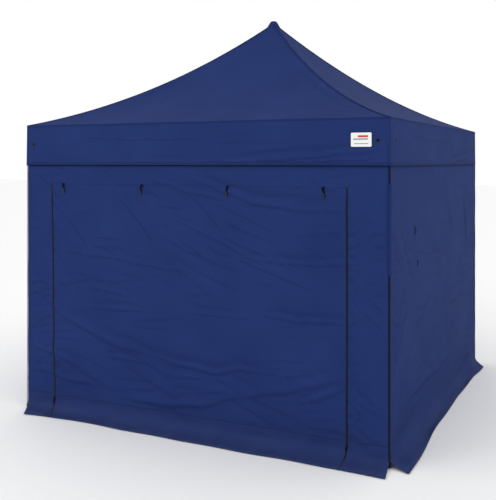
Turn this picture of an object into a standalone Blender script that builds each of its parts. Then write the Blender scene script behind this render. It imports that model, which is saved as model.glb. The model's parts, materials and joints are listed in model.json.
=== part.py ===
"""A pop up canopy: a folding scissor frame with a pyramid roof, four walls and a door.

Metres, +Z up. The origin is on the ground under the centre of the square roof.
The front wall, with the door, faces -Y.
"""

import math

import bmesh
import bpy
from mathutils import Matrix, Vector

# Overall sizes
ROOF_SIDE = 3.0
EAVE_HEIGHT = 2.26
PEAK_HEIGHT = 3.235
VALANCE_DROP = 0.32
SKIRT_WIDTH = 0.2
SKIRT_RISE = 0.16

# Fabric stand-ins: thicker than cloth, so that they have a volume
CLOTH = 0.003
CLOTH_GAP = 0.001
SKIRT_LIFT = 0.0015
SKIRT_KNEE_OUT = 0.055
SKIRT_KNEE_HEIGHT = 0.06
ROOF_DIP = 0.46
KNOB_RADIUS = 0.035
KNOB_RISE = 0.02
WALL_TOP_GAP = 0.02

# Door in the front wall
DOOR_LEFT_STRIP = 0.25
DOOR_RIGHT_STRIP = 0.30
DOOR_TOP = 1.80
DOOR_GAP = 0.002

# Scissor frame
TRUSS_BELOW_EAVE = 0.06
OPEN_ANGLE = math.radians(20.5)
FOLDED_ANGLE = math.radians(87.0)
BAR_WIDTH = 0.030
BAR_THICK = 0.012
BAR_SPACING = 0.003
PIN_RADIUS = 0.004
PIN_CLEARANCE = 0.0006
PIN_PROUD = 0.002
RIVET_HEAD = 0.008
RIVET_HEAD_HEIGHT = 0.002
RIVET_GAP = 0.0004
CHEEK_THICK = 0.005
CHEEK_GAP = 0.001
CORE_GAP = 0.002
LUG_GAP = 0.005
CONNECTOR_HEIGHT = 0.060

# Legs
FOOT_SIDE = 0.080
FOOT_THICK = 0.006
FOOT_HOLE = 0.006
FOOT_CLEARANCE = 0.002
LEG_SIDE = 0.040
LEG_WALL = 0.002
LEG_PLAY = 0.001
FOOT_STOP = 0.026
LEG_STOP = 0.04
BRACKET_WALL = 0.005
SLIDER_WALL = 0.0045
SLIDER_PLAY = 0.0005
SLIDER_ABOVE = 0.025
SLIDER_BELOW = 0.060
SLIDER_STOP = 0.008

# Spring pull pin on each slider
PULL_PIN_DROP = 0.045
PULL_PIN_RADIUS = 0.004
PULL_PIN_LENGTH = 0.022
PULL_PIN_PLAY = 0.0004
PULL_KNOB_RADIUS = 0.010
PULL_KNOB_HEIGHT = 0.008
PULL_TRAVEL = 0.007
PULL_BOSS_RADIUS = 0.009
PULL_BOSS_HEIGHT = 0.006

# Centre pole
POLE_RADIUS = 0.014
POLE_PLAY = 0.0025
POLE_FIT = 0.0004
POLE_BELOW = 0.028

# Worked out from the sizes above
HALF = ROOF_SIDE / 2
WALL_OUT = HALF - CLOTH - CLOTH_GAP
WALL_IN = WALL_OUT - CLOTH
LEG_AXIS = WALL_IN - FOOT_CLEARANCE - FOOT_SIDE / 2
BAR_END = BAR_WIDTH / 2
LUG_REACH = LEG_SIDE / 2 + BRACKET_WALL + LUG_GAP + BAR_END
TRUSS_TOP = EAVE_HEIGHT - TRUSS_BELOW_EAVE
BAR_RUN = LEG_AXIS - 2 * LUG_REACH
BAR_SPAN = BAR_RUN / math.cos(OPEN_ANGLE)
TRUSS_LOW = TRUSS_TOP - BAR_SPAN * math.sin(OPEN_ANGLE)
FOLDED_LOW = TRUSS_TOP - BAR_SPAN * math.sin(FOLDED_ANGLE)
OUTER_LEG_BOTTOM = FOLDED_LOW - SLIDER_BELOW - SLIDER_STOP
LEG_TRAVEL = OUTER_LEG_BOTTOM - FOOT_THICK - FOOT_STOP
INNER_SIDE = LEG_SIDE - 2 * LEG_WALL - 2 * LEG_PLAY
BAR_OFFSET = (BAR_THICK + BAR_SPACING) / 2
CORE_HALF = LUG_REACH - BAR_END - CORE_GAP
LEG_TOP = TRUSS_TOP + CONNECTOR_HEIGHT / 2

SIDES = {"front": -90, "right": 0, "back": 90, "left": 180}
CORNERS = {
    "front_left": (-1, -1),
    "front_right": (1, -1),
    "back_right": (1, 1),
    "back_left": (-1, 1),
}


# ---------------------------------------------------------------- helpers

def clear_scene():
    for obj in list(bpy.data.objects):
        bpy.data.objects.remove(obj, do_unlink=True)


def material(name, colour, roughness, metallic=0.0):
    """A plain finish: one colour, roughness and metallic value."""
    mat = bpy.data.materials.new(name)
    mat.use_nodes = True
    shader = mat.node_tree.nodes["Principled BSDF"]
    shader.inputs["Base Color"].default_value = (*colour, 1.0)
    shader.inputs["Roughness"].default_value = roughness
    shader.inputs["Metallic"].default_value = metallic
    mat.diffuse_color = (*colour, 1.0)
    return mat


def ring(radius, count, centre=(0.0, 0.0)):
    """Points of a regular polygon, with a flat side facing each axis."""
    points = []
    for i in range(count):
        angle = 2 * math.pi * (i + 0.5) / count
        points.append((centre[0] + radius * math.cos(angle), centre[1] + radius * math.sin(angle)))
    return points


def rectangle(x0, x1, y0, y1):
    return [(x0, y0), (x1, y0), (x1, y1), (x0, y1)]


def plate(outline, low, high, holes=()):
    """A flat outline with holes, extruded along Z from low to high."""
    bm = bmesh.new()
    edges = []
    for loop in [outline, *holes]:
        verts = [bm.verts.new((x, y, low)) for x, y in loop]
        edges += [bm.edges.new((verts[i], verts[(i + 1) % len(verts)])) for i in range(len(verts))]
    bmesh.ops.triangle_fill(bm, use_beauty=True, edges=edges)
    sheet = list(bm.faces)
    raised = bmesh.ops.extrude_face_region(bm, geom=sheet)["geom"]
    moved = [item for item in raised if isinstance(item, bmesh.types.BMVert)]
    bmesh.ops.translate(bm, vec=(0, 0, high - low), verts=moved)
    bmesh.ops.recalc_face_normals(bm, faces=bm.faces)
    return finished(bm)


def prism(outline, low, high):
    """A plain prism along Z: two end faces and its sides."""
    bm = bmesh.new()
    bottom = [bm.verts.new((x, y, low)) for x, y in outline]
    top = [bm.verts.new((x, y, high)) for x, y in outline]
    close_sides(bm, bottom, top)
    bm.faces.new(bottom)
    bm.faces.new(top)
    bmesh.ops.recalc_face_normals(bm, faces=bm.faces)
    return finished(bm)


def close_sides(bm, first, second):
    for i in range(len(first)):
        j = (i + 1) % len(first)
        bm.faces.new((first[i], first[j], second[j], second[i]))


def loft(rings):
    """A closed solid through matching rings of points, capped at both ends."""
    bm = bmesh.new()
    loops = [[bm.verts.new(point) for point in points] for points in rings]
    for first, second in zip(loops, loops[1:]):
        close_sides(bm, first, second)
    bm.faces.new(loops[0])
    bm.faces.new(loops[-1])
    bmesh.ops.recalc_face_normals(bm, faces=bm.faces)
    return finished(bm)


def finished(bm):
    mesh = bpy.data.meshes.new("shape")
    bm.to_mesh(mesh)
    bm.free()
    return mesh


def turned(mesh, matrix):
    """The same mesh after a rotation or a move."""
    mesh.transform(matrix)
    return mesh


def box(x0, x1, y0, y1, z0, z1):
    return prism(rectangle(x0, x1, y0, y1), z0, z1)


def pin_along_y(radius, x, z, y0, y1, sides=8):
    """A round pin whose axis is parallel to Y."""
    mesh = prism(ring(radius, sides), y0, y1)
    mesh.transform(Matrix.Rotation(-math.pi / 2, 4, "X"))
    mesh.transform(Matrix.Translation((x, 0, z)))
    return mesh


def combined(first, others, operation):
    """One mesh from several closed ones: a union, or the first with the others cut from it."""
    base = bpy.data.objects.new("base", first)
    bpy.context.scene.collection.objects.link(base)
    tools = bpy.data.collections.new("tools")
    for mesh in others:
        tools.objects.link(bpy.data.objects.new("tool", mesh))
    step = base.modifiers.new("step", "BOOLEAN")
    step.operation = operation
    step.operand_type = "COLLECTION"
    step.collection = tools
    step.solver = "EXACT"
    seen = base.evaluated_get(bpy.context.evaluated_depsgraph_get())
    mesh = bpy.data.meshes.new_from_object(seen)
    for obj in list(tools.objects):
        bpy.data.objects.remove(obj, do_unlink=True)
    bpy.data.collections.remove(tools)
    bpy.data.objects.remove(base, do_unlink=True)
    return mesh


def joined(meshes):
    return combined(meshes[0], meshes[1:], "UNION")


def place(name, mesh, finish, matrix=None, smooth=False):
    """Puts a mesh in the scene as one named part."""
    mesh.materials.clear()
    mesh.materials.append(finish)
    if smooth:
        mesh.shade_smooth()
        mesh.set_sharp_from_angle(angle=math.radians(35))
    obj = bpy.data.objects.new(name, mesh)
    obj.matrix_world = matrix or Matrix.Identity(4)
    bpy.context.scene.collection.objects.link(obj)
    return obj


def heading(degrees, origin=(0.0, 0.0, 0.0)):
    """Local +X turned to a compass heading, from the given point."""
    return Matrix.Translation(origin) @ Matrix.Rotation(math.radians(degrees), 4, "Z")


def outward(side, distance, height=0.0):
    angle = math.radians(SIDES[side])
    return Vector((distance * math.cos(angle), distance * math.sin(angle), height))


# ---------------------------------------------------------------- scissor bars

def bar_outline():
    """A bar along X from 0 to BAR_SPAN, with half-octagon ends."""
    cut = BAR_END * math.tan(math.pi / 8)
    return [
        (-BAR_END, -cut), (-cut, -BAR_END),
        (BAR_SPAN + cut, -BAR_END), (BAR_SPAN + BAR_END, -cut),
        (BAR_SPAN + BAR_END, cut), (BAR_SPAN + cut, BAR_END),
        (-cut, BAR_END), (-BAR_END, cut),
    ]


def bar_mesh(falls):
    """A scissor bar from its hub end at the origin; falls says which way it slopes.

    The falling bar carries the rivet of the crossing, and the rising bar has the hole for it.
    """
    hole = PIN_RADIUS + PIN_CLEARANCE
    stations = [0.0, BAR_SPAN] if falls else [0.0, BAR_SPAN / 2, BAR_SPAN]
    holes = [ring(hole, 8, (x, 0.0)) for x in stations]
    bar = plate(bar_outline(), -BAR_THICK / 2, BAR_THICK / 2, holes)
    if falls:
        far_face = BAR_THICK / 2 + BAR_SPACING + BAR_THICK + RIVET_GAP
        middle = (BAR_SPAN / 2, 0.0)
        shank = prism(ring(PIN_RADIUS, 8, middle), 0.0, far_face + RIVET_HEAD_HEIGHT / 2)
        head = prism(ring(RIVET_HEAD, 8, middle), far_face, far_face + RIVET_HEAD_HEIGHT)
        bar = joined([bar, shank, head])
    # The plate's Z becomes -Y, towards the rising bar, and its X follows the slope.
    bar.transform(Matrix.Rotation(math.pi / 2, 4, "X"))
    slope = OPEN_ANGLE if falls else -OPEN_ANGLE
    bar.transform(Matrix.Rotation(slope, 4, "Y"))
    side = BAR_OFFSET if falls else -BAR_OFFSET
    height = TRUSS_TOP if falls else TRUSS_LOW
    bar.transform(Matrix.Translation((LUG_REACH, side, height)))
    return bar


def build_bars(alloy):
    falling = bar_mesh(True)
    rising = bar_mesh(False)
    for side, degrees in SIDES.items():
        place(f"{side}_arm_falling_bar", falling, alloy, heading(degrees))
        place(f"{side}_arm_rising_bar", rising, alloy, heading(degrees))
        middle = outward(side, LEG_AXIS)
        for hand, turn in (("left", -90), ("right", 90)):
            matrix = heading(degrees + turn, middle)
            place(f"{side}_truss_{hand}_falling_bar", falling, alloy, matrix)
            place(f"{side}_truss_{hand}_rising_bar", rising, alloy, matrix)


# ---------------------------------------------------------------- hubs and connectors

def lug(degrees, high, root):
    """Two cheeks and a cross pin for one bar end, pointing along a heading.

    The cheeks start at root, inside the body that carries them. The bar lies to one side of the middle: +Y for the upper fittings, -Y for the lower ones.
    """
    bar_in = BAR_SPACING / 2
    bar_out = bar_in + BAR_THICK
    far = bar_out + CHEEK_GAP
    near = bar_in - CHEEK_GAP
    cheek_end = LUG_REACH + BAR_END - CORE_GAP
    nose = BAR_END - CORE_GAP
    slope = nose * math.tan(math.pi / 8)
    profile = [
        (root, -nose), (LUG_REACH + slope, -nose), (cheek_end, -slope),
        (cheek_end, slope), (LUG_REACH + slope, nose), (root, nose),
    ]
    shapes = []
    for low in (far, near - CHEEK_THICK):
        cheek = prism(profile, -(low + CHEEK_THICK), -low)
        shapes.append(turned(cheek, Matrix.Rotation(math.pi / 2, 4, "X")))
    pin_start = near - CHEEK_THICK - PIN_PROUD
    pin_end = far + CHEEK_THICK + PIN_PROUD
    shapes.append(pin_along_y(PIN_RADIUS, LUG_REACH, 0.0, pin_start, pin_end))
    # A lower fitting is the upper one turned over about the heading.
    flip = Matrix.Identity(4) if high else Matrix.Rotation(math.pi, 4, "X")
    turn = Matrix.Rotation(math.radians(degrees), 4, "Z") @ flip
    return [turned(shape, turn) for shape in shapes]


def block(bore=None, half=CORE_HALF, low=-CONNECTOR_HEIGHT / 2, high=CONNECTOR_HEIGHT / 2):
    outline = rectangle(-half, half, -half, half)
    if bore:
        return plate(outline, low, high, [bore])
    return prism(outline, low, high)


def fitting(lug_headings, high, bore=None):
    """A moulded block with lugs, centred on the height of its pins."""
    shapes = [block(bore)]
    for degrees in lug_headings:
        shapes += lug(degrees, high, CORE_HALF - CHEEK_THICK)
    return joined(shapes)


def build_hubs(moulding):
    top = fitting((0, 90, 180, 270), True, ring(POLE_RADIUS + POLE_PLAY, 12))
    place("top_hub", top, moulding, Matrix.Translation((0, 0, TRUSS_TOP)))
    low = fitting((0, 90, 180, 270), False, ring(POLE_RADIUS + POLE_FIT, 12))
    place("bottom_hub", low, moulding, Matrix.Translation((0, 0, TRUSS_LOW)))


def build_connectors(moulding):
    """The middle fittings of each side, with lugs to both corners and to the centre."""
    upper = fitting((90, 180, 270), True)
    lower = fitting((90, 180, 270), False)
    for side, degrees in SIDES.items():
        place(f"{side}_upper_connector", upper, moulding,
              heading(degrees, outward(side, LEG_AXIS, TRUSS_TOP)))
        place(f"{side}_lower_connector", lower, moulding,
              heading(degrees, outward(side, LEG_AXIS, TRUSS_LOW)))


# ---------------------------------------------------------------- centre pole

def roof_height(distance):
    """Height of the roof's outer face at a distance from the centre, square to an eave."""
    share = distance / HALF
    fall = (1 - share) - ROOF_DIP * share * (1 - share)
    slope = EAVE_HEIGHT + (PEAK_HEIGHT - KNOB_RISE - EAVE_HEIGHT) * fall
    if distance >= 2 * KNOB_RADIUS:
        return slope
    lift = KNOB_RISE * math.cos(math.pi * distance / (4 * KNOB_RADIUS)) ** 2
    return slope + lift


def build_king_pole(alloy):
    """The pole stands in the bottom hub, slides in the top hub and holds up the peak."""
    drop = CLOTH + 2 * CLOTH_GAP
    shape = [(POLE_RADIUS, TRUSS_LOW - POLE_BELOW)]
    shape.append((POLE_RADIUS, roof_height(KNOB_RADIUS) - 2 * drop))
    for step in range(5):
        radius = KNOB_RADIUS * math.cos(math.pi / 2 * step / 5)
        shape.append((radius, roof_height(radius) - drop))
    rings = []
    for radius, height in shape:
        rings.append([(x, y, height) for x, y in ring(radius, 12)])
    place("king_pole", loft(rings), alloy, smooth=True)


# ---------------------------------------------------------------- legs

def corner_lugs(high, root):
    """Lugs of a corner fitting whose two sides lie along +X and +Y."""
    return lug(0, high, root) + lug(90, high, root)


def outer_leg_mesh():
    """A square tube with the corner bracket fixed on its top."""
    half = LEG_SIDE / 2
    bore = half - LEG_WALL
    grip = half + BRACKET_WALL
    bracket_low = TRUSS_TOP - CONNECTOR_HEIGHT / 2
    outline = rectangle(-half, half, -half, half)
    hole = rectangle(-bore, bore, -bore, bore)
    tube = plate(outline, OUTER_LEG_BOTTOM, LEG_TOP - BRACKET_WALL / 2, [hole])
    sleeve_outline = rectangle(-grip, grip, -grip, grip)
    sleeve = plate(sleeve_outline, bracket_low, LEG_TOP, [hole])
    lid = prism(sleeve_outline, LEG_TOP - BRACKET_WALL, LEG_TOP)
    lift = Matrix.Translation((0, 0, TRUSS_TOP))
    lugs = [turned(shape, lift) for shape in corner_lugs(True, half)]
    return joined([tube, sleeve, lid, *lugs])


def slider_mesh():
    """A collar that runs on the outer leg, with two lugs and a boss for the pull pin."""
    bore = LEG_SIDE / 2 + SLIDER_PLAY
    outer = bore + SLIDER_WALL
    hole = rectangle(-bore, bore, -bore, bore)
    collar = plate(rectangle(-outer, outer, -outer, outer), -SLIDER_BELOW, SLIDER_ABOVE, [hole])
    boss = prism(ring(PULL_BOSS_RADIUS, 8), bore + SLIDER_WALL / 2, outer + PULL_BOSS_HEIGHT)
    boss.transform(pull_pin_frame())
    collar = joined([collar, boss, *corner_lugs(False, bore + SLIDER_WALL / 2)])
    channel = prism(ring(PULL_PIN_RADIUS + PULL_PIN_PLAY, 8), bore / 2, outer + 2 * PULL_BOSS_HEIGHT)
    channel.transform(pull_pin_frame())
    return combined(collar, [channel], "DIFFERENCE")


def pull_pin_frame():
    """Local +Z turned along +X, at the height of the pull pin."""
    return Matrix.Translation((0, 0, -PULL_PIN_DROP)) @ Matrix.Rotation(math.pi / 2, 4, "Y")


def pull_pin_mesh():
    """The locking pin and its knob: it pulls away from the leg."""
    start = LEG_SIDE / 2 + SLIDER_PLAY * 0.6
    face = LEG_SIDE / 2 + SLIDER_PLAY + SLIDER_WALL + PULL_BOSS_HEIGHT + PULL_PIN_PLAY
    shank = prism(ring(PULL_PIN_RADIUS, 8), start, face + PULL_KNOB_HEIGHT / 2)
    knob = prism(ring(PULL_KNOB_RADIUS, 8), face, face + PULL_KNOB_HEIGHT)
    return turned(joined([shank, knob]), pull_pin_frame())


def inner_leg_mesh():
    """A square tube that telescopes in the outer leg, welded to its foot plate."""
    half = INNER_SIDE / 2
    bore = half - LEG_WALL
    top = TRUSS_TOP - LEG_TRAVEL - LEG_STOP
    outline = rectangle(-half, half, -half, half)
    tube = plate(outline, FOOT_THICK / 2, top, [rectangle(-bore, bore, -bore, bore)])
    foot = FOOT_SIDE / 2
    peg = foot - 2 * FOOT_HOLE
    holes = [ring(FOOT_HOLE, 8, (peg, peg)), ring(FOOT_HOLE, 8, (-peg, -peg))]
    base = plate(rectangle(-foot, foot, -foot, foot), 0.0, FOOT_THICK, holes)
    return joined([tube, base])


def build_legs(alloy, moulding, steel):
    outer = outer_leg_mesh()
    slider = slider_mesh()
    pull_pin = pull_pin_mesh()
    inner = inner_leg_mesh()
    # Each corner fitting's two lugs point along the two sides that meet there.
    turns = {"front_left": 0, "front_right": 90, "back_right": 180, "back_left": 270}
    for corner, (x, y) in CORNERS.items():
        foot = heading(turns[corner], (x * LEG_AXIS, y * LEG_AXIS, 0))
        pins = heading(turns[corner], (x * LEG_AXIS, y * LEG_AXIS, TRUSS_LOW))
        place(f"{corner}_outer_leg", outer, alloy, foot)
        place(f"{corner}_inner_leg", inner, steel, foot)
        place(f"{corner}_slider", slider, moulding, pins)
        place(f"{corner}_pull_pin", pull_pin, steel, pins)


# ---------------------------------------------------------------- roof

def roof_panel_mesh():
    """One quarter of the roof with its valance, facing +X, mitred at both hips."""
    seam = CLOTH_GAP / 2
    stations = [0.006, KNOB_RADIUS * 0.6, KNOB_RADIUS, 2 * KNOB_RADIUS]
    first = stations[-1]
    steps = 6
    stations += [first + (HALF - first) * i / steps for i in range(1, steps + 1)]
    outer = [(s, roof_height(s)) for s in stations]
    outer.append((HALF, EAVE_HEIGHT - VALANCE_DROP))
    inner = [(max(s - CLOTH * 0.25, 0.004), roof_height(s) - CLOTH) for s in stations[:-1]]
    inner.append((HALF - CLOTH, roof_height(HALF) - CLOTH))
    inner.append((HALF - CLOTH, EAVE_HEIGHT - VALANCE_DROP))
    rings = []
    for (s_out, z_out), (s_in, z_in) in zip(outer, inner):
        # Both faces stop at the hip plane y = +-x, less half the seam.
        wide = s_out - seam
        narrow = s_in - seam
        rings.append([(s_out, -wide, z_out), (s_out, wide, z_out),
                      (s_in, narrow, z_in), (s_in, -narrow, z_in)])
    return loft(rings)


def build_roof(cloth):
    panel = roof_panel_mesh()
    for side, degrees in SIDES.items():
        place(f"roof_panel_{side}", panel, cloth, heading(degrees))


# ---------------------------------------------------------------- walls and door

def wall_profile(top):
    """Section of a wall and its flared floor skirt: x outwards, y up, as closed points."""
    hem = WALL_OUT + SKIRT_WIDTH
    knee = WALL_OUT + SKIRT_KNEE_OUT
    outer = [(hem, SKIRT_LIFT + CLOTH), (knee, SKIRT_KNEE_HEIGHT + CLOTH),
             (WALL_OUT, SKIRT_RISE), (WALL_OUT, top)]
    inner = [(WALL_IN, top), (WALL_IN, SKIRT_RISE),
             (knee - CLOTH, SKIRT_KNEE_HEIGHT), (hem, SKIRT_LIFT)]
    return outer + inner


def wall_strip(low, high, profile):
    """The wall section swept along Y, from low to high, for a wall that faces +X."""
    strip = prism(profile, -high, -low)
    return turned(strip, Matrix.Rotation(math.pi / 2, 4, "X"))


def doorway():
    """Ends of the doorway along the front wall, from its left to its right."""
    return -HALF + DOOR_LEFT_STRIP, HALF - DOOR_RIGHT_STRIP


def build_walls(cloth):
    profile = wall_profile(EAVE_HEIGHT - WALL_TOP_GAP)
    full = WALL_OUT
    between = WALL_IN - CLOTH_GAP
    place("wall_back", wall_strip(-full, full, profile), cloth, heading(SIDES["back"]))
    side_wall = wall_strip(-between, between, profile)
    place("wall_left", side_wall, cloth, heading(SIDES["left"]))
    place("wall_right", side_wall, cloth, heading(SIDES["right"]))

    # The front wall faces -Y, where its local +Y is the world's +X.
    left, right = doorway()
    front = wall_strip(-full, full, profile)
    reach = WALL_OUT + SKIRT_WIDTH + CLOTH
    opening = box(WALL_IN - CLOTH, reach, left, right, -CLOTH, DOOR_TOP)
    front = combined(front, [opening], "DIFFERENCE")
    place("wall_front", front, cloth, heading(SIDES["front"]))

    door_profile = wall_profile(DOOR_TOP - DOOR_GAP)
    door = wall_strip(left + DOOR_GAP, right - DOOR_GAP, door_profile)
    place("door_panel", door, cloth, heading(SIDES["front"]))


def main():
    clear_scene()
    alloy = material("anodised aluminium", (0.62, 0.63, 0.65), 0.35, 1.0)
    steel = material("galvanised steel", (0.50, 0.51, 0.53), 0.45, 1.0)
    moulding = material("black nylon", (0.02, 0.02, 0.022), 0.5)
    cloth = material("navy polyester", (0.018, 0.036, 0.138), 0.75)
    build_hubs(moulding)
    build_king_pole(alloy)
    build_bars(alloy)
    build_connectors(moulding)
    build_legs(alloy, moulding, steel)
    build_roof(cloth)
    build_walls(cloth)


main()
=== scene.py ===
"""The looks of the pop up canopy: its cloth, its trimmings and the finishes of its frame."""

import json
import math

import bmesh
import bpy
import numpy as np
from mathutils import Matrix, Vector


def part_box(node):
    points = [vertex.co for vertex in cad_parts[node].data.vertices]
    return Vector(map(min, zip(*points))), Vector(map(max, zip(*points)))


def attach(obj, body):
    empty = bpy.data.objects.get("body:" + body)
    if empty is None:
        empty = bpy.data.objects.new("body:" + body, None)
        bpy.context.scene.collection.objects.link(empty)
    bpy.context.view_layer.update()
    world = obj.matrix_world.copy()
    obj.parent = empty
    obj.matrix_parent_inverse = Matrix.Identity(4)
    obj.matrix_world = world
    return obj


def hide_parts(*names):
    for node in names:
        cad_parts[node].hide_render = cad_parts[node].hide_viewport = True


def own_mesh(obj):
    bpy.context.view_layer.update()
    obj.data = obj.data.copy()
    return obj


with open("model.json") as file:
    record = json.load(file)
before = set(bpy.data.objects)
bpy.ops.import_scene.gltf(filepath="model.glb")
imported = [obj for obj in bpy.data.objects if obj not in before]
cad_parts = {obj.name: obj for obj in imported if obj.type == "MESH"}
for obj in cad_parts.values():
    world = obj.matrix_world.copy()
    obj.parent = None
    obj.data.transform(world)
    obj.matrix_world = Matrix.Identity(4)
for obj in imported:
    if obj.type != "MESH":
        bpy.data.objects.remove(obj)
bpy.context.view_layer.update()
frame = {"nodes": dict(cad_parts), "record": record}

# ---- sizes, read from the frame

ROOF_LOW, ROOF_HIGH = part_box("roof_panel_front")
_, WALL_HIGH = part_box("wall_back")
DOOR_LOW, DOOR_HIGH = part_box("door_panel")

HALF = -ROOF_LOW[1]
PEAK = ROOF_HIGH[2]
VALANCE_LOW = ROOF_LOW[2]
VALANCE_DROP = 0.32
EAVE = VALANCE_LOW + VALANCE_DROP
WALL_HALF = WALL_HIGH[0]
WALL_TOP = WALL_HIGH[2]
HEM_OUT = WALL_HIGH[1] - WALL_HALF
DOOR_LEFT, DOOR_RIGHT, DOOR_TOP = DOOR_LOW[0], DOOR_HIGH[0], DOOR_HIGH[2]

ROOF_DIP = 0.54          # how far the roof's slope is hollowed
KNOB_RADIUS = 0.035      # the pole's cap under the peak
KNOB_RISE = 0.02
CAP_DROP = 0.032         # how the crown falls away over the pole's round cap
CAP_RADIUS = 0.042
CAP_POWER = 3.5
CROWN = 0.24             # half the square of cloth that lies over the folded frame
CLOTH = 0.0008           # thickness of the coated cloth
SKIRT_RISE = 0.17        # where the wall starts to flare into its skirt
HEM = 0.025              # depth of a sewn hem
LAP = 0.03               # how far the door's head covers the wall behind it
VALANCE_FLARE = 0.008    # how far the valance's hem stands out
VALANCE_ROWS = 34
GRID = 0.0125            # spacing of the cloth's mesh
ROOF_GRID = GRID * 1.5
CROWN_GRID = 0.004

SIDES = {"front": -90, "right": 0, "back": 90, "left": 180}
CORNERS = {
    "front_right": (1, -1), "back_right": (1, 1),
    "back_left": (-1, 1), "front_left": (-1, -1),
}
# Where each side's random fields start: its wall, valance and roof panel
SEEDS = {"front": (11, 61, 81), "right": (23, 67, 83), "back": (37, 71, 87), "left": (41, 73, 89)}
# A bend shows in the cloth's colour as a painted highlight on a ridge and painted shade in a
# hollow.
WALL_GAIN, ROOF_GAIN = 900.0, 1400.0     # how strongly a bend shows in the cloth's colour
UP = np.array([0, 0, 1.0])


def roof_slope(distance):
    """The hollowed slope from the peak down to the eave, square to an eave."""
    share = np.asarray(distance, float) / HALF
    fall = (1 - share) - ROOF_DIP * share * (1 - share)
    return EAVE + (PEAK - KNOB_RISE - EAVE) * fall


def roof_height(distance):
    """Height of the roof at distances from the centre, square to an eave."""
    near = np.clip(np.asarray(distance, float) / (2 * KNOB_RADIUS), 0, 1)
    return roof_slope(distance) + KNOB_RISE * np.cos(math.pi / 2 * near) ** 2


def crown_height(distance, radius):
    """The roof near its peak, where the cloth is stretched over the pole's round cap."""
    cap = PEAK - CAP_DROP * (np.asarray(radius, float) / CAP_RADIUS) ** CAP_POWER
    return np.maximum(roof_slope(distance), cap)


# ---- directions

def directions(side):
    """(outward, along) of a side: seen from outside, along runs to the right."""
    angle = math.radians(SIDES[side])
    out = np.array([math.cos(angle), math.sin(angle), 0.0])
    return out, np.array([-out[1], out[0], 0.0])


def on_side(side, along, outward, height):
    """World points from arrays of distance along a side, outwards from the centre, and height."""
    out, run = directions(side)
    points = np.multiply.outer(np.asarray(along, float), run)
    points = points + np.multiply.outer(np.asarray(outward, float), out)
    points[..., 2] = height
    return points


# ---- wrinkle fields

ABOVE, BELOW = 2.6, 0.5  # how far a fold spreads above and below its line, in widths
FADE = 0.35              # share of a fold's length over which each end dies away
FAR = 9.0
MM = 1000.0


def smooth(low, high, value):
    """A soft step from 0 at low to 1 at high."""
    t = np.clip((value - low) / (high - low), 0, 1)
    return t * t * (3 - 2 * t)


def waves(u, v, seed, length, stretch=1.0, tilt=0.0, count=9):
    """A soft random surface of about the given wavelength, longer along a tilted direction."""
    rng = np.random.RandomState(seed % 10000)
    cos_t, sin_t = math.cos(tilt), math.sin(tilt)
    along = (u * cos_t + v * sin_t) / stretch
    across = -u * sin_t + v * cos_t
    total = np.zeros_like(u, dtype=float)
    for _ in range(count):
        angle = rng.uniform(0, math.pi)
        scale = 2 * math.pi / (length * rng.uniform(0.7, 1.5))
        phase = rng.uniform(0, 2 * math.pi)
        total += np.sin(scale * (along * math.cos(angle) + across * math.sin(angle)) + phase)
    return total / math.sqrt(count)


def puckers(u, v, seed, length, stretch=1.0, tilt=0.0):
    """Rounded swells with sharp valleys between them, in random patches."""
    field = waves(u, v, seed, length, stretch, tilt)
    mask = smooth(-0.6, 1.0, waves(u, v, seed + 50, length * 2.2, stretch * 0.6, tilt))
    return (np.sqrt(field ** 2 + 0.015) - 0.6) * mask


def crease(u, v, points, height, width):
    """A fold along a given line: it swells gently from above and drops sharply below."""
    v = v + 0.004 * waves(u, v, 7, 0.35)
    best = np.full(u.shape, FAR)
    signed = np.zeros(u.shape)
    place = np.zeros(u.shape)
    lengths = np.linalg.norm(np.diff(points, axis=0), axis=1)
    starts = np.concatenate([[0], np.cumsum(lengths)])
    for i, (p, q) in enumerate(zip(points[:-1], points[1:])):
        step = q - p
        t = np.clip(((u - p[0]) * step[0] + (v - p[1]) * step[1]) / (step @ step), 0, 1)
        du, dv = u - p[0] - t * step[0], v - p[1] - t * step[1]
        dist = np.hypot(du, dv)
        side = np.sign(dv * step[0] - du * step[1]) * (1 if step[0] >= 0 else -1)
        nearer = dist < best
        best = np.where(nearer, dist, best)
        signed = np.where(nearer, side * dist, signed)
        place = np.where(nearer, (starts[i] + t * lengths[i]) / starts[-1], place)
    fade = smooth(0, FADE, place) * smooth(1, 1 - FADE, place)
    width = width * (0.55 + 0.45 * fade)
    above = np.exp(-(np.maximum(signed, 0) / (ABOVE * width)) ** 2)
    below = np.exp(-(np.minimum(signed, 0) / (BELOW * width)) ** 2)
    return height * fade * above * below


def fan(u, v, centre, start, end, count, reach, height, seed):
    """Drag lines that spread from a point where the cloth is held."""
    rng = np.random.RandomState(seed)
    du, dv = u - centre[0], v - centre[1]
    radius = np.hypot(du, dv)
    angle = np.degrees(np.arctan2(dv, du)) % 360
    total = np.zeros(u.shape)
    for i in range(count):
        middle = (start + (end - start) * (i + rng.uniform(0.2, 0.8)) / count) % 360
        off = (angle - middle + 180) % 360 - 180
        spread = 2.4 + rng.uniform(0, 2.4)
        length = reach * rng.uniform(0.5, 1.0)
        line = np.exp(-(off / spread) ** 2)
        line = line * smooth(0.10, 0.40, radius) * smooth(length, 0.3 * length, radius)
        total += line * rng.uniform(0.5, 1.0)
    return height * total


def creased(table, u, v, mirror=1):
    """The sum of a table's creases."""
    return sum(crease(u, v, np.array(points) * (mirror, 1) / MM, height / MM, width / MM)
               for height, width, *points in table)


def layered(table, seed, u, v, places):
    """The sum of a table's random fields, each kept to the place it names."""
    return sum(rise * field(u, v, seed + step, *look) * places[place]
               for field, step, look, rise, place in table)


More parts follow.
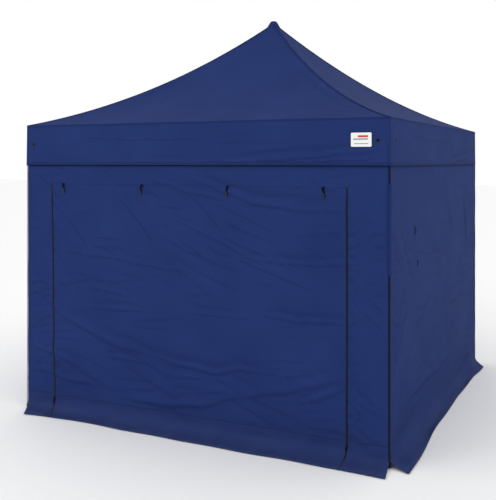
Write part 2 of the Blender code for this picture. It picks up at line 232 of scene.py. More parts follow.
# Creases of the front wall in mm: (height, width, points along and up)
FRONT_CREASES = [
    (8, 20, (0, 1870), (250, 1780), (530, 1690), (830, 1655), (1220, 1645)),
    (3, 18, (-350, 1860), (50, 1750), (350, 1690)),
    (9, 26, (-1230, 800), (-910, 680), (-600, 580), (-300, 545)),
    (8, 16, (-400, 550), (-10, 490), (270, 475), (420, 520), (750, 520)),
    (5, 15, (-760, 500), (-560, 485), (-360, 480)),
    (11, 24, (-600, 200), (-250, 190), (80, 220), (350, 300)),
    (6, 26, (100, 230), (400, 330), (800, 420), (1200, 560)),
    (7, 16, (850, 330), (1000, 380), (1210, 500)),
    (4, 13, (-900, 860), (-600, 855), (-360, 865)),
    (3, 13, (-10, 870), (250, 885), (550, 880)),
    (5, 14, (550, 930), (850, 885), (1210, 915)),
    (3.5, 13, (350, 1310), (790, 1280), (1170, 1300), (1480, 1320)),
    (2.5, 16, (-1200, 1280), (-700, 1250), (-200, 1190), (100, 1200)),
    (3.5, 18, (-950, 1030), (-760, 1000), (-460, 955)),
    (4, 14, (-1480, 950), (-1350, 925), (-1220, 920)),
    (6, 18, (-1480, 500), (-1360, 490), (-1200, 450), (-950, 380)),
    (6, 20, (-1480, 320), (-1300, 310), (-1050, 270), (-750, 260)),
    (1.2, 24, (-200, 1600), (300, 1400), (750, 1200)),
    (1, 22, (150, 1500), (550, 1360), (950, 1180)),
    (4, 15, (1240, 1060), (1340, 980), (1480, 860)),
    (4, 14, (1230, 720), (1360, 700), (1480, 720)),
    (4, 16, (1230, 420), (1360, 360), (1490, 340)),
]
# The same for the right wall: long drag lines that rise from its near lower corner
RIGHT_CREASES = [
    (8, 24, (-1460, 330), (-1100, 500), (-600, 780), (-100, 980)),
    (6, 20, (-1470, 450), (-1250, 720), (-950, 980)),
    (5, 18, (-1460, 620), (-1200, 950), (-1020, 1180)),
    (9, 26, (-1400, 300), (-800, 340), (-200, 330), (600, 360)),
    (4, 14, (-980, 1360), (-700, 1440), (-400, 1530)),
    (4, 16, (-1450, 1220), (-1200, 1280), (-950, 1320)),
    (9, 30, (-300, 600), (300, 780), (900, 800), (1350, 700)),
    (6, 24, (500, 950), (900, 1050), (1400, 1020)),
    (5, 30, (900, 1750), (1050, 1400), (1100, 1100)),
]
# Random fields of a wall: (field, seed step, (length, stretch, tilt), height, place)
WALL_FIELDS = [
    (waves, 0, (1.30, 1.5, 0.20), 0.0040, "slack"),
    (waves, 1, (0.42, 1.8, 0.35), 0.0016, "slack"),
    (waves, 2, (0.34, 2.8, 0.10), 0.0024, "low"),
    (puckers, 3, (0.50, 3.5, 0.10), 0.0011, "slack"),
    (puckers, 4, (0.36, 3.0, -0.10), 0.0016, "low"),
    (puckers, 5, (0.14, 5.0, 0.03), 0.0010, "slack"),
    (puckers, 14, (0.18, 4.0, -0.35), 0.0009, "slack"),
    (puckers, 10, (0.22, 5.0, -0.75), 0.0020, "high"),
    (puckers, 11, (0.12, 3.0, 0.14), 0.0034, "strip"),
    (puckers, 12, (0.15, 3.0, -0.55), 0.0022, "strip"),
]
# Drag lines from a wall's corners: (which end, height, first and last angle, lines, reach,
# height of a line, seed step)
WALL_FANS = [
    (1, 1.95, 195, 240, 5, 1.3, 0.0008, 6), (-1, 1.95, 285, 345, 5, 1.2, 0.0008, 7),
    (-1, 0.18, 14, 60, 5, 1.0, 0.0009, 8), (1, 0.18, 125, 168, 4, 1.0, 0.0008, 9),
]
VALANCE_CREASES = [
    (9.5, 16, (300, 1965), (890, 2003), (1490, 2056)),
    (2.2, 12, (-550, 1975), (50, 1970), (600, 1990)),
    (3, 12, (700, 1965), (1100, 1985), (1470, 2000)),
    (1.5, 16, (-1200, 2170), (-500, 2150), (300, 2140)),
]
ROOF_FIELDS = [
    (waves, 0, (0.9, 1.8, 1.2), 0.0020, "inside"),
    (puckers, 1, (0.45, 2.5, 1.35), 0.0009, "inside"),
]
# The same for a roof panel: (which end, distance from the centre, ...)
ROOF_FANS = [
    (1, 1, 192, 256, 6, 1.3, 0.0014, 2), (-1, 1, 284, 348, 6, 1.3, 0.0014, 3),
    (0, 0, 55, 125, 5, 1.0, 0.0012, 4),
]
PACKED = 0.014           # half the width of a fold left by packing
FOLD_LEVELS = (0.43, 0.86, 1.29)
FOLD_COLUMNS = (-0.75, 0.0, 0.75)
MOST_OUT = 0.030
MOST_IN = -0.0165        # in the middle of a wall; beside the legs the cloth can't move in
LEG_ROOM = 0.014


def side_wrinkles(side, u, v):
    """How far a wall's cloth stands off its plane, at distances along it and heights."""
    seed = SEEDS[side][0]
    reach = np.abs(u)
    places = {
        "slack": smooth(WALL_TOP, WALL_TOP - 0.7, v) * 0.8 + 0.2,
        "low": smooth(1.2, 0.2, v),
        # Faint drag lines slant down from the top, and fine puckers cross the stiff side strips.
        "high": smooth(1.05, 1.35, v) * smooth(1.93, 1.80, v),
        "strip": smooth(1.16, 1.26, reach) * smooth(1.70, 1.30, v),
    }
    total = layered(WALL_FIELDS, seed, u, v, places)
    for level in FOLD_LEVELS:
        total += 0.0003 * np.exp(-((v - level) / PACKED) ** 2)
    for column in FOLD_COLUMNS:
        total += 0.00012 * np.exp(-((u - column) / PACKED) ** 2) * smooth(1.6, 1.0, v)
    for end, level, *spread, step in WALL_FANS:
        total += fan(u, v, (end * WALL_HALF, level), *spread, seed + step)
    if side == "front":
        total += creased(FRONT_CREASES, u, v)
        total += fan(u, v, (DOOR_RIGHT, DOOR_TOP), 20, 70, 4, 0.5, 0.0012, seed + 13)
    else:
        total += creased(RIGHT_CREASES, u, v, 1 if side == "right" else -1)
    held = 0.25 + 0.75 * smooth(WALL_HALF, WALL_HALF - 0.10, reach)
    near_top = smooth(WALL_TOP, 1.93, v) * 0.9 + 0.1
    inward = MOST_IN + LEG_ROOM * smooth(1.10, 1.32, reach)
    total = total * held * near_top
    return np.where(total < 0, inward * np.tanh(total / inward), np.minimum(total, MOST_OUT))


def valance_wrinkles(side, u, v):
    """How far the valance stands off, from the eave at v = 0 down to its hem at v = 1."""
    seed = SEEDS[side][1]
    drop = v * VALANCE_DROP
    total = VALANCE_FLARE * v ** 1.5
    total = total + 0.0018 * waves(u, drop, seed, 0.60, 2.5, 0.05) * v
    total += 0.0007 * puckers(u, drop, seed + 1, 0.12, 7.0, 0.02) * (0.3 + v)
    total += creased(VALANCE_CREASES, u, EAVE - drop)
    held = smooth(HALF, HALF - 0.06, np.abs(u))
    return total * (0.3 + 0.7 * held) * smooth(0, 0.15, v)


def roof_wrinkles(side, u, s):
    """How far a roof panel stands off, at distances along it and from the centre."""
    seed = SEEDS[side][2]
    inside = smooth(0, 0.12, s - np.abs(u))
    total = -0.004 * np.sin(math.pi * np.clip(s / HALF, 0, 1)) * inside
    total += layered(ROOF_FIELDS, seed, u, s, {"inside": inside})
    for end, share, *spread, step in ROOF_FANS:
        total += fan(u, s, (end * HALF, share * HALF), *spread, seed + step)
    return total * smooth(HALF, HALF - 0.08, s) * smooth(CROWN, CROWN + 0.45, s)


# ---- meshes

def placed(name, data):
    """A new object in the scene, at the origin."""
    item = bpy.data.objects.new(name, data)
    bpy.context.scene.collection.objects.link(item)
    return item


def new_piece(name, mesh, finish, smooth_shading=True):
    mesh.materials.clear()
    mesh.materials.append(finish)
    if smooth_shading:
        mesh.shade_smooth()
    return placed(name, mesh)


def grid_mesh(name, points, uv, keep=None, painted_fold_light=None):
    """A mesh from rows and columns of points; keep says which quads are cloth."""
    rows, columns = points.shape[:2]
    index = np.arange(rows * columns).reshape(rows, columns)
    quads = np.stack([index[:-1, :-1], index[:-1, 1:], index[1:, 1:], index[1:, :-1]], axis=-1)
    if keep is None:
        keep = np.ones(quads.shape[:2], bool)
    quads = quads[keep]
    used, quads = np.unique(quads, return_inverse=True)
    quads = quads.reshape(-1, 4)
    flat = points.reshape(-1, 3)[used]
    mesh = bpy.data.meshes.new(name)
    mesh.from_pydata(flat.tolist(), [], quads.tolist())
    layer = mesh.uv_layers.new(name="cloth")
    flat_uv = uv.reshape(-1, 2)[used]
    layer.data.foreach_set("uv", flat_uv[quads.ravel()].astype(np.float32).ravel())
    # The ridge share sets a painted highlight on the cloth's ridges and painted shade in its
    # hollows.
    if painted_fold_light is not None:
        ridges = mesh.attributes.new("painted_fold_light", "FLOAT", "POINT")
        ridges.data.foreach_set("value", painted_fold_light.ravel()[used].astype(np.float32))
    mesh.update()
    return mesh


def ridge_share(field, gain=WALL_GAIN):
    """0 in a hollow, 1 on a ridge: from how sharply the cloth bends; it places the painted
    highlight and painted shade in the cloth's colour.
    """
    bend = np.zeros_like(field)
    bend[1:-1, 1:-1] = (4 * field[1:-1, 1:-1] - field[:-2, 1:-1] - field[2:, 1:-1]
                        - field[1:-1, :-2] - field[1:-1, 2:])
    return np.clip(0.5 + bend * gain, 0, 1)


def thicken(piece, amount=CLOTH, offset=-1.0):
    wall = piece.modifiers.new("thickness", "SOLIDIFY")
    wall.thickness = amount
    wall.offset = offset
    return piece


def spaced(low, high, step, *fixed):
    """Values from low to high about a step apart, with the fixed ones among them."""
    stops = sorted({low, high, *fixed})
    values = [low]
    for a, b in zip(stops, stops[1:]):
        count = max(1, round((b - a) / step))
        values += [a + (b - a) * (i + 1) / count for i in range(count)]
    return np.array(values)


def bezier(points, t):
    a, b, c, d = (np.array(p, float) for p in points)
    t = np.asarray(t)[:, None]
    return (1 - t) ** 3 * a + 3 * (1 - t) ** 2 * t * b + 3 * (1 - t) * t * t * c + t ** 3 * d


def mesh_of(name, bm):
    """The mesh of a finished bmesh, which is freed."""
    mesh = bpy.data.meshes.new(name)
    bm.to_mesh(mesh)
    bm.free()
    return mesh


def circle(centre, first, second, radius, sides):
    """Points on a circle in the plane of two directions."""
    first, second = Vector(first), Vector(second)
    turns = [2 * math.pi * i / sides for i in range(sides)]
    return [Vector(centre) + radius * (first * math.cos(turn) + second * math.sin(turn))
            for turn in turns]


def loft(loops, closed=False):
    """A skin from loop to loop; its ends are capped unless it closes on itself."""
    bm = bmesh.new()
    loops = [[bm.verts.new(point) for point in loop] for loop in loops]
    for first, second in zip(loops, loops[1:] + (loops[:1] if closed else [])):
        for i in range(len(first)):
            j = (i + 1) % len(first)
            bm.faces.new((first[i], first[j], second[j], second[i]))
    if not closed:
        bm.faces.new(loops[0][::-1])
        bm.faces.new(loops[-1])
    bmesh.ops.recalc_face_normals(bm, faces=bm.faces)
    return bm


def lofted(name, loops, finish, closed=False, smooth_shading=True):
    return new_piece(name, mesh_of(name, loft(loops, closed)), finish, smooth_shading)


# ---- finishes

FLOAT, VECTOR, SOLID = "NodeSocketFloat", "NodeSocketVector", "NodeSocketGeometry"


def tree_of(name):
    """A new material, with its tree and its shader."""
    mat = bpy.data.materials.new(name)
    mat.use_nodes = True
    return mat, mat.node_tree, mat.node_tree.nodes["Principled BSDF"]


def fill(tree, node, inputs):
    """Sets a node's inputs to values, or links them to other nodes' outputs."""
    for label, value in inputs.items():
        if isinstance(value, bpy.types.NodeSocket):
            tree.links.new(value, node.inputs[label])
        else:
            node.inputs[label].default_value = value


def add(tree, kind, inputs, output=0, **settings):
    """A new node with its settings and inputs; gives one of its outputs."""
    node = tree.nodes.new(kind)
    for key, value in settings.items():
        setattr(node, key, value)
    fill(tree, node, inputs)
    return node.outputs[output]


def new_group(name, inputs, outputs, kind="ShaderNodeTree"):
    """A node group from its (label, kind of socket) lists, and its two end nodes."""
    group = bpy.data.node_groups.new(name, kind)
    for way, sockets in (("INPUT", inputs), ("OUTPUT", outputs)):
        for label, socket in sockets:
            group.interface.new_socket(label, in_out=way, socket_type=socket)
    return group, group.nodes.new("NodeGroupInput"), group.nodes.new("NodeGroupOutput")


def calc(tree, operation, *values, clamp=False):
    inputs = dict(enumerate(values))
    return add(tree, "ShaderNodeMath", inputs, operation=operation, use_clamp=clamp)


def noise(tree, vector, scale, detail, **more):
    inputs = {"Vector": vector, "Scale": scale, "Detail": detail, **more}
    return add(tree, "ShaderNodeTexNoise", inputs, "Fac")


def bump(tree, height, strength, distance, **more):
    inputs = {"Height": height, "Strength": strength, "Distance": distance, **more}
    return add(tree, "ShaderNodeBump", inputs)


def ramp(tree, value, low, high):
    """0 at low to 1 at high."""
    inputs = {"Value": value, "From Min": low, "From Max": high}
    return add(tree, "ShaderNodeMapRange", inputs, "Result")


def mixed(tree, share, first, second):
    """A colour mix; first and second are colours or sockets."""
    first, second = ((*c, 1.0) if isinstance(c, tuple) else c for c in (first, second))
    inputs = {"Factor": share, "A": first, "B": second}
    return add(tree, "ShaderNodeMix", inputs, "Result", data_type="RGBA")


def shade(colour, gain, plus=0.0):
    return tuple(c * gain + plus for c in colour)


def weave_group():
    """A plain weave of warp and weft threads over a UV map in metres."""
    tree, start, end = new_group("plain_weave", [("Threads per metre", FLOAT), ("UV", VECTOR)],
                                 [("Height", FLOAT), ("Slub", FLOAT)])
    threads, uv = start.outputs["Threads per metre"], start.outputs["UV"]
    split = add(tree, "ShaderNodeSeparateXYZ", {0: uv}).node
    sines = []
    for axis in (0, 1):
        turns = calc(tree, "MULTIPLY", split.outputs[axis], threads)
        sines.append(calc(tree, "SINE", calc(tree, "MULTIPLY", turns, math.pi)))
    cross = calc(tree, "MULTIPLY", *sines)
    stretch = add(tree, "ShaderNodeMapping", {"Vector": uv, "Scale": (14.0, 240.0, 1.0)})
    fill(tree, end, {"Height": calc(tree, "ABSOLUTE", cross),
                     "Slub": noise(tree, stretch, 1.0, 3.0)})
    return tree


DUST_REACH = 0.25


def dust_group():
    """A faint film of dust that thickens towards the ground."""
    tree, _, end = new_group("ground_dust", [], [("Dust", FLOAT)])
    where = add(tree, "ShaderNodeTexCoord", {}, "Object")
    split = add(tree, "ShaderNodeSeparateXYZ", {0: where}).node
    height = calc(tree, "DIVIDE", split.outputs[2], DUST_REACH)
    near = calc(tree, "POWER", calc(tree, "SUBTRACT", 1.0, height, clamp=True), 2.0)
    fill(tree, end, {"Dust": calc(tree, "MULTIPLY", near, noise(tree, where, 9.0, 6.0))})
    return tree


WEAVE = weave_group()
DUST = dust_group()


def dusted(tree, tone, share, colour):
    """A share of dust over a tone."""
    dust = add(tree, "ShaderNodeGroup", {}, "Dust", node_tree=DUST)
    return mixed(tree, calc(tree, "MULTIPLY", dust, share), tone, colour)


def cloth_finish(name, colour, threads=1400.0, rough=0.80, sheen=0.0, dusty=True):
    """Coated polyester: woven, slightly uneven in colour, with a painted highlight on its ridges
    and painted shade in its hollows.
    """
    mat, tree, shader = tree_of(name)
    uv = add(tree, "ShaderNodeUVMap", {}, uv_map="cloth")
    weave = add(tree, "ShaderNodeGroup", {"Threads per metre": threads, "UV": uv},
                node_tree=WEAVE).node
    pale = shade(colour, 1.13, 0.002)
    tone = mixed(tree, ramp(tree, noise(tree, uv, 2.3, 5.0), 0.2, 0.8), shade(colour, 0.86), pale)
    slub = ramp(tree, weave.outputs["Slub"], 0.1, 0.9)
    tone = mixed(tree, calc(tree, "MULTIPLY", slub, 0.3), tone, pale)
    painted_fold_light = add(tree, "ShaderNodeAttribute", {}, "Fac", attribute_name="painted_fold_light")
    # Ridges get a painted highlight and hollows painted shade, from how sharply the cloth bends.
    ridge, hollow = (0.55, 1.0, 0.06, 1.45, 0.004), (0.45, 0.0, 0.35, 0.55, 0.0)
    for low, high, share, gain, plus in (ridge, hollow):
        amount = calc(tree, "MULTIPLY", ramp(tree, painted_fold_light, low, high), share)
        tone = mixed(tree, amount, tone, shade(colour, gain, plus))
    if dusty:
        tone = dusted(tree, tone, 0.22, (0.11, 0.115, 0.15))
    fine = bump(tree, weave.outputs["Height"], 0.35, 0.0004)
    crumple = noise(tree, uv, 16.0, 7.0, Roughness=0.62)
    fill(tree, shader, {
        "Base Color": tone, "Roughness": rough, "Specular IOR Level": 0.05,
        "Sheen Weight": sheen, "Sheen Roughness": 0.5, "Sheen Tint": (0.35, 0.42, 0.75, 1.0),
        "Normal": bump(tree, crumple, 0.45, 0.004, Normal=fine)})
    return mat


def grained_finish(name, colour, rough, metallic, grain, depth=0.0002, spread=0.12, dusty=False):
    """A solid finish with a fine grain in its tone, its roughness and its surface."""
    mat, tree, shader = tree_of(name)
    where = add(tree, "ShaderNodeTexCoord", {}, "Object")
    scale = grain if isinstance(grain, tuple) else (grain,) * 3
    stretch = add(tree, "ShaderNodeMapping", {"Vector": where, "Scale": scale})
    speck = noise(tree, stretch, 1.0, 6.0)
    pale = tuple(min(1.0, c) for c in shade(colour, 1 + spread))
    tone = mixed(tree, ramp(tree, speck, 0.25, 0.75), shade(colour, 1 - spread), pale)
    if dusty:
        tone = dusted(tree, tone, 0.5, (0.16, 0.15, 0.13))
    uneven = {"Value": speck, "To Min": rough - 0.08, "To Max": rough + 0.1}
    fill(tree, shader, {
        "Base Color": tone, "Metallic": metallic, "Normal": bump(tree, speck, 0.5, depth),
        "Roughness": add(tree, "ShaderNodeMapRange", uneven, "Result")})
    return mat


NAVY = (0.0140, 0.0305, 0.1300)
roof_cloth = cloth_finish("navy roof cloth", NAVY, 900.0, dusty=False)
wall_cloth = cloth_finish("navy wall cloth", NAVY, 900.0)
seam_cloth = cloth_finish("navy seam tape", shade(NAVY, 0.96))
# The front valance's binding is black, darker than on the other sides: it is the binding and a
# painted shadow line under the hem.
black_binding_and_painted_shadow = cloth_finish("black binding and painted shadow line", (0.0015, 0.0025, 0.009))
navy_tape = cloth_finish("navy edge binding", shade(NAVY, 0.45))
zip_tape = cloth_finish("black zip tape", (0.0025, 0.0028, 0.004), 2200.0, 0.85)
webbing = cloth_finish("black webbing", (0.003, 0.0032, 0.004), 700.0, 0.8, 0.05)
thread = grained_finish("navy thread", (0.012, 0.022, 0.085), 0.55, 0.0, 900, 0.0001)
zip_teeth = grained_finish("black zip teeth", (0.003, 0.003, 0.004), 0.6, 0.0, 300)
black_nylon = grained_finish("black nylon", (0.006, 0.006, 0.007), 0.60, 0.0, 220, 0.0003)
black_steel = grained_finish("blackened eyelet", (0.006, 0.006, 0.008), 0.50, 0.3, 150)
label_white = grained_finish("white woven label", (0.82, 0.82, 0.80), 0.6, 0.0, 900, spread=0.03)
label_red = grained_finish("red label stripe", (0.62, 0.02, 0.02), 0.6, 0.0, 900)
label_grey = grained_finish("grey label stripe", (0.12, 0.14, 0.14), 0.6, 0.0, 900)
anodised = grained_finish("anodised aluminium", (0.60, 0.61, 0.63), 0.34, 1.0,
                          (40, 40, 260), 0.00008, 0.06)
galvanised = grained_finish("galvanised steel", (0.46, 0.47, 0.49), 0.42, 1.0,
                            45, 0.0003, 0.18, True)


# ---- how pieces move

def gathered(pieces, body):
    """Cloth that rides a body, each piece with a mesh of its own."""
    for piece in pieces:
        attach(piece, body)
        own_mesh(piece)


def with_side(side, slot, *pieces, body=None):
    """Cloth of one side: it follows its middle connector."""
    gathered(pieces, body or f"{side}_upper_connector")


def with_roof(side, *pieces):
    """Cloth of one roof panel, which rides that panel."""
    gathered(pieces, f"roof_{side}")


def with_pole(piece):
    """Cloth of the crown, which rides the centre pole."""
    gathered([piece], "centre_pole")


# ---- walls

FLARE_ROWS = 16


def wall_section():
    """Rows of a wall from its top to the skirt's hem: outward offset, height and normal."""
    heights = spaced(SKIRT_RISE, WALL_TOP, GRID, DOOR_TOP)[::-1]
    upright = np.stack([np.zeros_like(heights), heights], axis=1)
    curve = [(0, SKIRT_RISE), (0.004, 0.085), (0.075, 0.022), (HEM_OUT - 0.004, 0.005)]
    flare = bezier(curve, np.linspace(0, 1, FLARE_ROWS)[1:])
    section = np.concatenate([upright, flare])
    tangent = np.gradient(section, axis=0)
    normal = np.stack([-tangent[:, 1], tangent[:, 0]], axis=1)
    normal /= np.linalg.norm(normal, axis=1)[:, None]
    return section, normal


SECTION, SECTION_NORMAL = wall_section()
# Height of each row measured along the cloth from the hem
STEPS = np.linalg.norm(np.diff(SECTION, axis=0), axis=1)
ALONG_CLOTH = np.concatenate([[0], np.cumsum(STEPS)])
ALONG_CLOTH = ALONG_CLOTH[-1] - ALONG_CLOTH

# How the skirt lies on each side: (along, how far its hem is drawn along, share of full flare)
SKIRT_LIE = {
    "front": [(-1.5, 0.115, 0.92), (-1.25, 0.060, 0.76), (-1.0, 0.035, 0.66), (0.0, 0.0, 0.80),
              (0.8, -0.010, 0.86), (1.2, 0.0, 0.86), (1.5, 0.03, 1.0)],
    "right": [(-1.5, -0.050, 0.76), (-1.1, -0.020, 0.64), (-0.5, -0.010, 0.50),
              (0.3, -0.020, 0.44), (1.0, -0.080, 0.50), (1.35, -0.150, 0.62),
              (1.5, -0.200, 0.64)],
    "back": [(-1.5, 0.040, 0.95), (-0.5, 0.010, 1.0), (0.6, -0.010, 0.94), (1.5, -0.050, 1.0)],
    "left": [(-1.5, 0.060, 0.90), (0.0, 0.0, 1.0), (0.9, 0.0, 0.95), (1.25, 0.0, 0.60),
             (1.5, 0.0, 0.10)],
}
# How straight it hangs before it turns out: 1 is an even curve
SKIRT_HANG = {"front": 1.9, "right": 1.3, "back": 1.1, "left": 1.2}
GROUND_GAP = 0.0035      # how low the cloth's outer face comes
DOOR_STEP = 0.0014       # how far the door's head stands off the wall it laps over
COARSE = 1.35            # the back and left walls' mesh against the front's
CORNER_GAP = 0.002       # between a wall's edge and the corner


def wall_surface(side, columns):
    """Points, UV and ridges of a whole wall's cloth."""
    u, row = np.meshgrid(columns, np.arange(len(SECTION)))
    height = SECTION[row, 1]
    field = side_wrinkles(side, u, height)
    low = smooth(0.02, 0.16, height)
    skirt = 0.0035 * waves(u, height * 0.3, 5 + SIDES[side], 0.80, 1.0, 0.0)
    skirt += 0.0010 * waves(u, height * 2.0, 9 + SIDES[side], 0.25, 2.0, 0.3)
    flare = smooth(SKIRT_RISE, 0.03, height) * smooth(0.0, 0.012, height)
    field = field * low + skirt * flare
    # The skirt hangs straighter beside the corner zips.
    out_share = SECTION[row, 0] / HEM_OUT
    beside = smooth(WALL_HALF - 0.30, WALL_HALF, np.abs(u))
    out_share = np.clip(out_share, 0, 1) ** (SKIRT_HANG[side] + 2.2 * beside)
    lie = np.array(SKIRT_LIE[side])
    stand = HEM_OUT * out_share * np.interp(u, lie[:, 0], lie[:, 2])
    outward = WALL_HALF + stand + field * SECTION_NORMAL[row, 0]
    rise = np.maximum(height + field * SECTION_NORMAL[row, 1], GROUND_GAP)
    # The hem runs a little unevenly over the ground.
    hem = smooth(0.05, 0.004, height)
    outward = outward + hem * 0.006 * waves(u, u * 0, 17 + SIDES[side], 0.6)
    drawn = out_share * np.interp(u, lie[:, 0], lie[:, 1])
    if side == "front":
        # The left slit leans a little to the right towards the ground.
        lean = np.interp(u, [-1.5, -1.25, -0.6, 0.0], [0.2, 1.0, 0.3, 0.0])
        drawn += 0.026 * lean * smooth(1.75, 0.15, height)
        drawn += 0.010 * np.interp(u, [0.6, 1.2, 1.4, 1.5], [0.0, 1.0, 0.4, 0.0])
    points = on_side(side, u + drawn, outward, rise)
    uv = np.stack([u, ALONG_CLOTH[row]], axis=-1)
    return points, uv, ridge_share(field)


def wall_columns(side):
    reach = WALL_HALF - CORNER_GAP * (1 if side in ("front", "back") else 2)
    fixed = (DOOR_LEFT, DOOR_RIGHT) if side == "front" else ()
    return spaced(-reach, reach, GRID * (1.0 if side in ("front", "right") else COARSE), *fixed)


SURFACES = {side: (wall_columns(side), *wall_surface(side, wall_columns(side)))
            for side in SIDES}


def nearest(values, value):
    return int(np.argmin(np.abs(values - value)))


def surface_line(side, along):
    """Points down a wall's cloth, at a distance along it."""
    columns, points, _, _ = SURFACES[side]
    return points[:, nearest(columns, along)].copy()


def surface_point(side, along, height, lift):
    """A point a little way off a wall's cloth."""
    columns, points, _, _ = SURFACES[side]
    out, _ = directions(side)
    return points[nearest(SECTION[:, 1], height), nearest(columns, along)] + out * lift


def cloth_piece(name, points, uv, keep, painted_fold_light, finish, flip=False):
    """A sheet of cloth of its own thickness."""
    mesh = grid_mesh(name, points, uv, keep, painted_fold_light)
    if flip:
        mesh.flip_normals()
    return thicken(new_piece(name, mesh, finish))


def build_walls():
    for side in SIDES:
        columns, points, uv, painted_fold_light = SURFACES[side]
        keep = None
        if side == "front":
            middle = (columns[:-1] + columns[1:]) / 2
            in_door = (middle > DOOR_LEFT) & (middle < DOOR_RIGHT)
            level = (SECTION[:-1, 1] + SECTION[1:, 1]) / 2
            door = (level < DOOR_TOP)[:, None] & in_door[None, :]
            # The door's head laps over the wall's edge.
            keep = ~((level < DOOR_TOP - LAP)[:, None] & in_door[None, :])
            lapped = points.copy()
            head = smooth(DOOR_TOP - 4 * LAP, DOOR_TOP - LAP, SECTION[:, 1])
            lapped[..., 1] -= DOOR_STEP * head[:, None]
            panel = cloth_piece("door_cloth", lapped, uv, door, painted_fold_light, wall_cloth)
            with_side("front", "wall_cloth", panel, body="door")
            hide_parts("door_panel")
        wall = cloth_piece(f"{side}_wall_cloth", points, uv, keep, painted_fold_light, wall_cloth)
        with_side(side, "wall_cloth", wall)
        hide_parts(f"wall_{side}")


# ---- roof

def panel_surface(side, rows, wrinkled=True):
    """A roof panel between two distances from the centre; its columns fan out to the hips."""
    count = int(2 * HALF / ROOF_GRID)
    share, s = np.meshgrid(np.linspace(-1, 1, count + 1), rows)
    u = share * s
    height = roof_height(s)
    if wrinkled:
        lift = roof_wrinkles(side, u, s)
    else:
        lift = np.zeros_like(u)
        height = crown_height(s, np.hypot(u, s))
    points = on_side(side, u, s, height + lift)
    run = np.concatenate([[0], np.cumsum(np.hypot(np.diff(rows), np.diff(roof_height(rows))))])
    uv = np.stack([u, np.broadcast_to(run[:, None], u.shape)], axis=-1)
    return points, uv, ridge_share(lift, ROOF_GAIN), run[-1]


def build_roof():
    outer_rows = spaced(CROWN, HALF, ROOF_GRID)
    for side in SIDES:
        points, uv, painted_fold_light, length = panel_surface(side, outer_rows)
        # Its faces are turned to look up.
        panel = cloth_piece(f"{side}_roof_cloth", points, uv, None, painted_fold_light, roof_cloth, flip=True)
        with_roof(side, panel)
        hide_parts(f"roof_panel_{side}")

        u, v = np.meshgrid(spaced(-HALF, HALF, GRID), np.linspace(0, 1, VALANCE_ROWS))
        lift = valance_wrinkles(side, u, v)
        points = on_side(side, u * (1 + lift / HALF * np.abs(u) / HALF), HALF + lift,
                         EAVE - v * VALANCE_DROP)
        uv = np.stack([u, v * VALANCE_DROP], axis=-1)
        valance = cloth_piece(f"{side}_valance", points, uv, None, ridge_share(lift), roof_cloth)
        with_side(side, "roof_cloth", valance)
        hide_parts(f"roof_panel_{side}")
    build_crown()


def build_crown():
    """The middle of the roof, over the pole's cap."""
    rows = spaced(CROWN_GRID, CROWN, CROWN_GRID)
    bm = bmesh.new()
    for side in SIDES:
        points, uv, painted_fold_light, _ = (part[:, ::4] if np.ndim(part) > 1 else part
                               for part in panel_surface(side, rows, wrinkled=False))
        mesh = grid_mesh(f"crown_{side}", points, uv, None, painted_fold_light)
        mesh.flip_normals()
        bm.from_mesh(mesh)
    bmesh.ops.remove_doubles(bm, verts=bm.verts, dist=CROWN_GRID / 20)
    tip = [edge for edge in bm.edges if edge.is_boundary
           and all(math.hypot(v.co.x, v.co.y) < 5 * CROWN_GRID for v in edge.verts)]
    bmesh.ops.holes_fill(bm, edges=tip, sides=0)
    crown = thicken(new_piece("roof_crown", mesh_of("roof_crown", bm), roof_cloth))
    with_pole(crown)
    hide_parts(*[f"roof_panel_{side}" for side in SIDES])


# ---- ribbons and stitches

def ribbon(name, line, across, width, finish, thickness=0.0012, bulge=0.0):
    """A flat band of constant width along a line of points; across is its sideways direction."""
    line = np.asarray(line, float)
    across = np.asarray(across, float)
    if across.ndim == 1:
        across = np.broadcast_to(across, line.shape)
    shares = np.array([-0.5, -0.25, 0.0, 0.25, 0.5])
    tangent = np.gradient(line, axis=0)
    normal = np.cross(across, tangent)
    normal /= np.maximum(np.linalg.norm(normal, axis=1), 1e-9)[:, None]
    crown = bulge * (1 - (2 * shares) ** 2)
    points = (line[:, None] + across[:, None] * (shares * width)[None, :, None]
              + normal[:, None] * crown[None, :, None])
    run = np.concatenate([[0], np.cumsum(np.linalg.norm(np.diff(line, axis=0), axis=1))])
    uv = np.stack(np.broadcast_arrays((shares * width)[None, :], run[:, None]), axis=-1)
    mesh = grid_mesh(name, points, uv)
    return thicken(new_piece(name, mesh, finish), thickness, 0.0)


def repeat_tree(name):
    """Geometry nodes: one small shape set again and again along a path."""
    tree, start, end = new_group(
        name, [("Path", SOLID), ("Shape", "NodeSocketObject"), ("Pitch", FLOAT),
               ("Finish", "NodeSocketMaterial")], [("Geometry", SOLID)], "GeometryNodeTree")
    given = start.outputs
    curve = add(tree, "GeometryNodeMeshToCurve", {"Mesh": given["Path"]})
    spread = add(tree, "GeometryNodeCurveToPoints", {"Curve": curve, "Length": given["Pitch"]},
                 mode="LENGTH").node.outputs
    shape = add(tree, "GeometryNodeObjectInfo", {"Object": given["Shape"]}, "Geometry")
    put = add(tree, "GeometryNodeInstanceOnPoints", {
        "Points": spread["Points"], "Instance": shape, "Rotation": spread["Rotation"]})
    real = add(tree, "GeometryNodeRealizeInstances", {0: put})
    fill(tree, end, {0: add(tree, "GeometryNodeSetMaterial",
                            {"Geometry": real, "Material": given["Finish"]})})
    return tree


REPEAT = repeat_tree("repeat_along_path")


